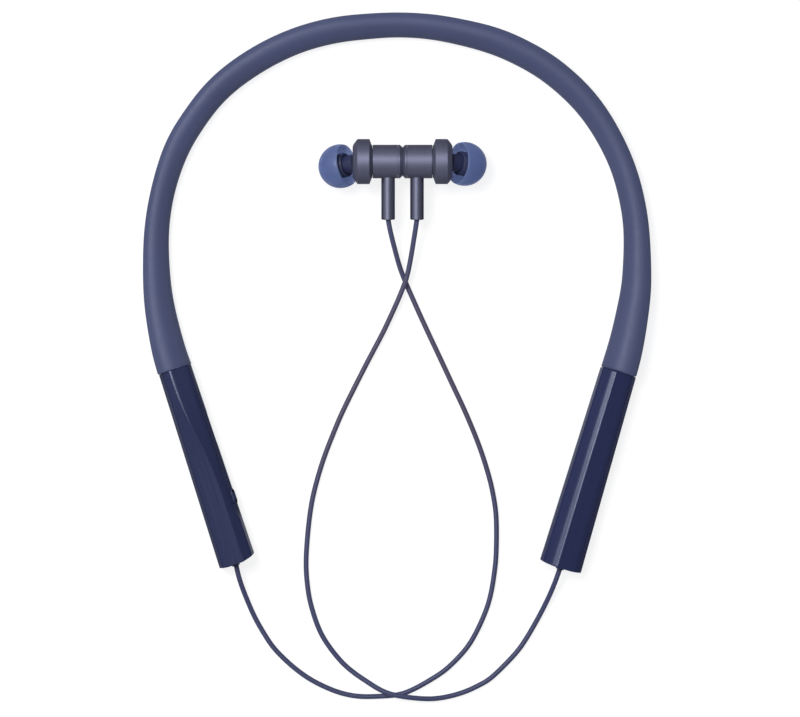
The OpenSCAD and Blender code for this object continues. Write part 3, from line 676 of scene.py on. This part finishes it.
def pod_rings(l, w0, w1, crest, soft, knee, wall, drop, skew, bulge, r0, r1, inner_round):
    xs = [(r0 * (1 - math.cos(a)), r0 * (1 - math.sin(a))) for a in np.linspace(0, math.pi / 2, 6)]
    xs += [(x, 0.0) for x in np.linspace(r0 + 0.15, l - r1 - 0.15, 44)]
    xs += [(l - r1 * (1 - math.sin(a)), r1 * (1 - math.cos(a))) for a in np.linspace(0, math.pi / 2, 8)]
    rings = []
    for x, inset in xs:
        w = w0 + (w1 - w0) * x / l
        s = pod_section(w, POD_H, crest[0] + (crest[1] - crest[0]) * ease((x - 3) / 32), soft[0] + (soft[1] - soft[0]) * ease((x - 5) / 13), knee, wall(x))
        k = 1 - inset / (w / 2)
        f = ease((x - (l - 9)) / 9)
        g = ease((x - (l - 4)) / 4)
        low = drop * max(0.0, 1 - x / 16) ** 2
        ring = []
        for y, z in s:
            u = 2 * y / w
            z -= low * ease((z - MID_Z) / (POD_H - MID_Z))
            back = bulge * u * u + y * math.tan(math.radians(skew)) + inner_round * max(0.0, u - 0.45) ** 2 * 3.3
            ring.append((x - f * f * back * (0.25 + 0.75 * g), y * k, MID_Z + (z - MID_Z) * k))
        rings.append(ring)
    last = np.array(rings[-1])
    mid = last.mean(axis=0)
    mid = np.array([last[:, 0].max() + 0.02, 0, MID_Z])
    for k in (0.75, 0.5, 0.25):
        rings.append([(mid[0] + (p[0] - mid[0]) * k ** 1.6, p[1] * k, MID_Z + (p[2] - MID_Z) * k) for p in last])
    return rings


def pod_hollow(l, w0, w1):
    rings = []
    for x in np.linspace(WALL, l - 1.9, 12):
        w = w0 + (w1 - w0) * x / l - 2 * WALL
        h = POD_H - 2 * WALL
        s = fillet([(-0.36 * w, 0), (0.36 * w, 0), (0.5 * w, 0.14 * h), (0.5 * w, 0.46 * h), (0.36 * w, 0.82 * h), (0, 0.95 * h), (-0.36 * w, 0.82 * h), (-0.5 * w, 0.46 * h), (-0.5 * w, 0.14 * h)], 0.8, 3)
        rings.append([(x, y, z + WALL) for y, z in s])
    return skin(rings)


def halves(ob, names, plane_z):
    """Cuts the casing at the parting height into two closed shells."""
    made = []
    for name, keep_top in zip(names, (True, False)):
        bm = bmesh.new()
        bm.from_mesh(ob.data)
        geom = list(bm.verts) + list(bm.edges) + list(bm.faces)
        z = (plane_z + (0.012 if keep_top else -0.012)) * MM
        r = bmesh.ops.bisect_plane(bm, geom=geom, dist=1e-8, plane_co=(0, 0, z), plane_no=(0, 0, 1), clear_inner=keep_top, clear_outer=not keep_top)
        edges = [e for e in r["geom_cut"] if isinstance(e, bmesh.types.BMEdge)]
        bmesh.ops.triangle_fill(bm, use_beauty=True, use_dissolve=False, edges=edges, normal=(0, 0, -1 if keep_top else 1))
        bmesh.ops.recalc_face_normals(bm, faces=bm.faces)
        me = bpy.data.meshes.new(name)
        bm.to_mesh(me)
        bm.free()
        o = bpy.data.objects.new(name, me)
        bpy.context.scene.collection.objects.link(o)
        made.append(smooth_by_angle(o, 34))
    bpy.data.objects.remove(ob)
    return made


KEY_AT, KEY_LEAN, KEY_Z = 38.5, 19.0, 5.5
KEY_Y = LEFT_W[1] * (0.5 - 0.14 * (KEY_Z / POD_H - 0.42) / 0.41)
KEY_LEN, KEY_H, KEY_PROUD = 4.4, 2.4, 0.35
AT_KEY = LEFT_POD @ shift(KEY_AT, KEY_Y, KEY_Z) @ rot("X", KEY_LEAN - 90) @ np.diag([1.0, -1.0, 1.0, 1.0])
AT_PORT = LEFT_POD @ shift(18.5, 0, 2.6) @ rot("X", -90)

for side, pod, joint_len, w, crest, soft, knee, wall, drop, skew, bulge, r0, r1, inner_round, lacquer in (
        ("left", LEFT_POD, LEFT_LEN, LEFT_W, (-0.15, 0.19), (1.5, 0.12), None, lambda x: 0.5 * ease((14 - x) / 10) + ease((x - 41.5) / 4), 0.6, 3.5, 0.55, 0.12, 0.3, 0.35, "left_lacquer"),
        ("right", RIGHT_POD, RIGHT_LEN, RIGHT_W, (0.072, 0.085), (0.42, 0.95), 0.23, lambda x: 1 - 0.4 * x / RIGHT_LEN, 0.0, 1.5, 0.4, 0.3, 0.28, 0.0, "right_lacquer")):
    rings = pod_rings(joint_len, w[0], w[1], crest, soft, knee, wall, drop, skew, bulge, r0, r1, inner_round)
    v, f = skin([place(r, pod) for r in rings])
    casing = new_object(side + "_casing", v, f)
    hv, hf = pod_hollow(joint_len, *w)
    cutters = [new_object("hollow", place(hv, pod), hf)]
    axis = pod @ shift(0, 0, MID_Z) @ rot("Y", 90)
    cutters.append(prism(circle(1.9), -1, WALL + 1, axis))
    off = LEFT_EXIT if side == "left" else RIGHT_EXIT
    cutters.append(prism(circle(1.12), joint_len - 3, joint_len + 2, pod @ shift(0, off, MID_Z) @ rot("Y", 90)))
    if side == "left":
        cutters.append(prism(stadium(KEY_LEN + 0.16, KEY_H + 0.16), -3, 2, AT_KEY))
        cutters.append(prism(stadium(9.0, 3.26), 1.5, 7, AT_PORT))
        cutters.append(prism(circle(0.45, 32, 44, 0), -1, 3, pod))
        cutters.append(prism(circle(0.62, 32), 3.0, 7, pod @ shift(34, 0, 2.6) @ rot("X", -90)))
    cut(casing, cutters)
    part = "control" if side == "left" else "battery"
    for o, node in zip(halves(casing, (part + "_top_casing", part + "_bottom_casing"), MID_Z), (part + "_top_shell", part + "_bottom_shell")):
        o.data.materials.clear()
        o.data.materials.append(M[lacquer])
        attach(o, "neckband")
        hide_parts(node)

# ------------------------------------------------------------------ key


def key_cap():
    """Oval key with two dished pads and a bridge between them."""
    rings, n = [], 24
    for z in (-1.7, -0.4, KEY_PROUD - 0.3):
        rings.append([(x, y, z) for x, y in stadium(KEY_LEN, KEY_H, n)])
    for a in np.linspace(0, math.pi / 2, 5):
        d = 0.16 * (1 - math.cos(a))
        rings.append([(x, y, KEY_PROUD - 0.16 + 0.16 * math.sin(a)) for x, y in stadium(KEY_LEN - 2 * d, KEY_H - 2 * d, n)])
    outer = np.array(stadium(KEY_LEN - 0.32, KEY_H - 0.32, n))
    for k in (0.9, 0.8, 0.7, 0.6, 0.5, 0.4, 0.3, 0.2, 0.1):
        pts = []
        for x, y in stadium((KEY_LEN - 0.32) - (1 - k) * (KEY_H - 0.34), (KEY_H - 0.32) * k + 0.0, n):
            dish = ease((1 - k) / 0.35)
            bridge = ease((0.75 - abs(x)) / 0.45)
            pts.append((x, y, KEY_PROUD - 0.42 * dish * (1 - 0.85 * bridge)))
        rings.append(pts)
    return skin(rings)


v, f = key_cap()
ob = new_object("key_cap", place(v, AT_KEY), f, M["key_plastic"])
ob.data.materials.append(M["key_pad"])
for poly in ob.data.polygons:  # the two dished pads are painted darker than the rim and the bridge, as painted shade in the dishes
    mid = np.mean([v[i] for i in poly.vertices], axis=0)
    far = math.hypot(max(0.0, abs(mid[0]) - 1.0), mid[1])
    if mid[2] > KEY_PROUD - 0.6 and far < 0.42 * KEY_H and abs(mid[0]) > 0.4:
        poly.material_index = 1
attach(ob, "key")
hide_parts("multi_function_key")

# ------------------------------------------------------------------ earbuds


def bud_matrix(side):
    m = shift(*BUD) @ rot("X", DROOP)
    return m @ np.diag([-1.0 if side < 0 else 1.0, 1.0, 1.0, 1.0])


def nozzle_matrix(side):
    """Local +X runs out along the nozzle."""
    m = bud_matrix(side) @ shift(FRONT_X, ROOT_Y[side], ROOT_Z) @ rot("X", -DROOP) @ rot("X", -NOZZLE_TURN[side]) @ rot("Y", 90 + NOZZLE_TILT)
    return m @ rot("Y", -90)


def dense(points, step):
    """Adds points along the long straight stretches of an open or closed outline."""
    out = []
    p = [np.array(q, float) for q in points]
    for i, q in enumerate(p):
        r = p[(i + 1) % len(p)]
        n = max(1, int(np.linalg.norm(r - q) / step))
        out += [q + (r - q) * k / n for k in range(n)]
    return out


for side, word in ((-1, "left"), (1, "right")):
    bm_, nz = bud_matrix(side), nozzle_matrix(side)
    body, tip = word + "_earbud", word + "_tip"
    # barrel, with the stem's seat through its wall
    prof = fillet([(3.7 - 3.7 + 1.25, 3.7), (1.25, BARREL_R), (8.25, BARREL_R), (8.25, 3.7)], [0, 0.08, 0.1, 0], 4)
    v, f = lathe(dense(prof, 0.35), bm_, 192)
    ob = new_object(word + "_barrel_tube", v, f, M["bud_metal"])
    axis = bm_ @ shift(STEM_X, 0, 0) @ rot("X", 90)
    cut(ob, [prism(circle(STEM_R + 0.03, 64), 2, 8, axis)])
    smooth_by_angle(ob, 30)
    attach(ob, body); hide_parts(word + "_barrel")
    # back cap
    prof = fillet([(0, 0), (0, 3.95), (0.72, BARREL_R), (1.22, BARREL_R), (1.22, 3.65), (2.2, 3.65), (2.2, 3.3), (0.5, 3.3), (0.5, 0)], [0, 0.1, 0.08, 0.08, 0.03, 0.05, 0.05, 0.05, 0], 4)
    v, f = lathe(prof, bm_, 160, closed=False)
    ob = smooth_by_angle(new_object(word + "_back_disc", v, f, M["bud_cap_metal"]), 30)
    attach(ob, body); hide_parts(word + "_back_cap")
    # front housing: neck groove, flange, bevel and front face, then the nozzle
    prof = fillet([(6.9, 3.05), (6.9, 3.65), (8.33, 3.65), (8.33, 4.42), (8.5, 4.5), (9.15, FLANGE_R), (12.45, FLANGE_R), (13.0, 5.62), (13.5, 4.92), (FRONT_X, 4.35),
                   (FRONT_X, 0), (12.8, 0), (12.8, 5.25), (9.6, 5.25), (9.6, 3.05)],
                  [0.05, 0.05, 0.04, 0.05, 0.1, 0.12, 0.14, 1.0, 1.0, 0.2, 0, 0, 0.1, 0.1, 0.05], 5)
    v, f = lathe(prof, bm_, 192)
    ob = new_object(word + "_housing", v, f, M["bud_metal"])
    n_prof = fillet([(-0.9, 0), (-0.9, NOZZLE_R), (3.2, NOZZLE_R), (3.35, NOZZLE_R - 0.02), (4.6, NOZZLE_R), (4.6, 0)], [0, 0, 0.05, 0.05, 0.15, 0], 4)
    nv, nf = lathe(n_prof, nz, 96, closed=False)
    nozzle = new_object("nozzle", nv, nf)
    cut(ob, [nozzle], "UNION")
    bore = lathe([(-4, 0), (-4, 1.7), (4.1, 1.7), (4.1, 2.1), (6, 2.1), (6, 0)], nz, 84, closed=False)
    cut(ob, [new_object("bore", *bore)])
    smooth_by_angle(ob, 30)
    # painted shade: the nozzle's faces get a darker, bluer colour than the housing for the shade under the ear tip
    tint(ob, nz, M["nozzle_painted_shade"], lambda x, r: 0.2 < x < 5 and r < NOZZLE_R + 0.02)
    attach(ob, body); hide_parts(word + "_front_housing")
    # stem
    prof = fillet([(3.75, 1.1), (3.75, STEM_R), (STEM_LEN, STEM_R), (STEM_LEN, 1.1)], [0, 0.05, 0.16, 0.06], 5)
    v, f = lathe(dense(prof, 0.8), bm_ @ shift(STEM_X, 0, 0) @ rot("Z", -90), 96)
    ob = smooth_by_angle(new_object(word + "_stem_tube", v, f, M["stem_metal"]), 35)
    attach(ob, body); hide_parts(word + "_stem")
    # ear tip: dome, thin skirt with a rounded lip, and the core that grips the nozzle
    out = [(TIP_OUT + TIP_R * math.sin(a), TIP_R * math.cos(a)) for a in np.radians(np.linspace(-20, 66, 40))]
    crown = [(TIP_OUT + TIP_R - 0.55, 2.28), (TIP_OUT + TIP_R - 0.72, 2.12), (TIP_OUT + TIP_R - 1.1, 2.05), (4.75, 2.05), (4.65, 2.1), (4.65, TIP_BORE), (2.05, TIP_BORE), (2.0, TIP_BORE + 0.1),
             (2.0, TIP_BORE + 0.7), (2.1, TIP_BORE + 0.78), (TIP_OUT + 1.2, TIP_BORE + 0.85), (TIP_OUT + 2.2, TIP_BORE + 0.95), (TIP_OUT + 3.0, TIP_BORE + 1.25), (TIP_OUT + 3.6, TIP_BORE + 1.65)]
    inn = [(TIP_OUT + (TIP_R - th) * math.sin(a), (TIP_R - th) * math.cos(a)) for a, th in zip(np.radians(np.linspace(42, -19, 30)), np.linspace(0.62, 0.42, 30))]
    a0 = math.radians(-20.6)
    lip = [(TIP_OUT + (TIP_R - 0.3) * math.sin(a0) - 0.08, (TIP_R - 0.3) * math.cos(a0)), (TIP_OUT + (TIP_R - 0.12) * math.sin(a0) - 0.05, (TIP_R - 0.12) * math.cos(a0))]
    v, f = lathe(out + crown + inn + lip, nz, 144)
    ob = smooth_by_angle(new_object(word + "_tip_dome", v, f, M["tip_silicone"]), 45)
    # painted light: the skirt's inner wall gets a much lighter silicone colour than the outside, standing in for light
    # glowing through the skirt
    tint(ob, nz, M["tip_inner_painted_glow"], lambda x, r: x < TIP_OUT + 4.6 and r < math.sqrt(max(0.0, (TIP_R - 0.25) ** 2 - (x - TIP_OUT) ** 2)))
    tint(ob, nz, M["tip_core"], lambda x, r: x < TIP_OUT + 3.4 and r < TIP_BORE + 1.3)
    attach(ob, tip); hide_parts(word + "_ear_tip")

# ------------------------------------------------------------------ CAD nodes that stay
SLOT = {s["node"]: s["material_slot"] for s in frame["record"]["subparts"]}
for name, o in frame["nodes"].items():
    if o.hide_render:
        continue
    o.data.materials.clear()
    o.data.materials.append(M[SLOT[name]])
    for i in range(len(o.data.polygons)):
        o.data.polygons[i].material_index = 0

# ------------------------------------------------------------------ floor and light


def stage_floor():
    n = 64
    verts, faces = [(0, 0, -0.03)], []
    for r in (300.0, 900.0, 2500.0, 6000.0):
        verts += [(r * math.cos(2 * math.pi * k / n), r * math.sin(2 * math.pi * k / n), -0.03) for k in range(n)]
    for j in range(n):
        faces.append((0, 1 + j, 1 + (j + 1) % n))
    for k in range(1, 13):  # the floor sweeps up far behind everything
        a = math.radians(7.5 * k)
        r, z = 6000 + 2500 * math.sin(a), 2500 * (1 - math.cos(a))
        verts += [(r * math.cos(2 * math.pi * j / n), r * math.sin(2 * math.pi * j / n), z) for j in range(n)]
    for i in range(15):
        for j in range(n):
            l = (j + 1) % n
            faces.append((1 + i * n + j, 1 + (i + 1) * n + j, 1 + (i + 1) * n + l, 1 + i * n + l))
    k = Nodes("paper")
    c = k.ramp(k.noise(60, 3, 0.5), [(0.3, (0.3, 0.3, 0.303)), (0.7, (0.32, 0.32, 0.323))])
    k.link(c, k.s.inputs["Base Color"])
    k.set(Roughness=0.9, Specular_IOR_Level=0.1, Emission_Strength=0.8)
    k.s.inputs["Emission Color"].default_value = (1, 1, 1, 1)
    ob = new_object("floor", verts, faces, k.m)
    ob.visible_glossy = ob.visible_transmission = ob.visible_shadow = False
    return ob


stage_floor()


def area(name, where, size, power, target=(0, 0, 0), colour=(1, 1, 1), shape="RECTANGLE"):
    d = bpy.data.lights.new(name, "AREA")
    d.shape = shape
    d.size, d.size_y = size
    d.energy = power
    d.color = colour
    o = bpy.data.objects.new(name, d)
    o.location = where
    o.rotation_mode = "QUATERNION"
    o.rotation_quaternion = (Vector(target) - Vector(where)).to_track_quat("-Z", "Y")
    bpy.context.scene.collection.objects.link(o)
    return o


area("key", (-0.37, 0.3, 1.06), (0.46, 0.46), 6.6)
area("soft", (-0.3, 0.2, 1.4), (1.2, 1.5), 3.1)
world = bpy.data.worlds.new("studio")
bpy.context.scene.world = world
world.use_nodes = True
wt = world.node_tree
bg = wt.nodes["Background"]
wc = wt.nodes.new("ShaderNodeTexCoord")
ws = wt.nodes.new("ShaderNodeSeparateXYZ")
wr = wt.nodes.new("ShaderNodeValToRGB")
wm = wt.nodes.new("ShaderNodeMapRange")
wt.links.new(wc.outputs["Generated"], ws.inputs["Vector"])
wt.links.new(ws.outputs["Z"], wm.inputs["Value"])
wm.inputs["From Min"].default_value = -1
wt.links.new(wm.outputs["Result"], wr.inputs["Fac"])
stops = [(0.0, 0.8), (0.05, 0.45), (0.13, 0.1), (0.36, 0.1), (0.5, 0.28), (0.68, 0.3), (1.0, 0.36)]
el = wr.color_ramp.elements
while len(el) < len(stops):
    el.new(0.5)
for e, (at, v) in zip(el, stops):
    e.position = at
    e.color = (v * 0.97, v, v * 1.06, 1)
wt.links.new(wr.outputs["Color"], bg.inputs["Color"])
wx = wt.nodes.new("ShaderNodeMapRange")  # the room is darker to the right
wt.links.new(ws.outputs["X"], wx.inputs["Value"])
wx.inputs["From Min"].default_value = -1
wx.inputs["To Min"].default_value = 1.1
wx.inputs["To Max"].default_value = 0.55
wt.links.new(wx.outputs["Result"], bg.inputs["Strength"])
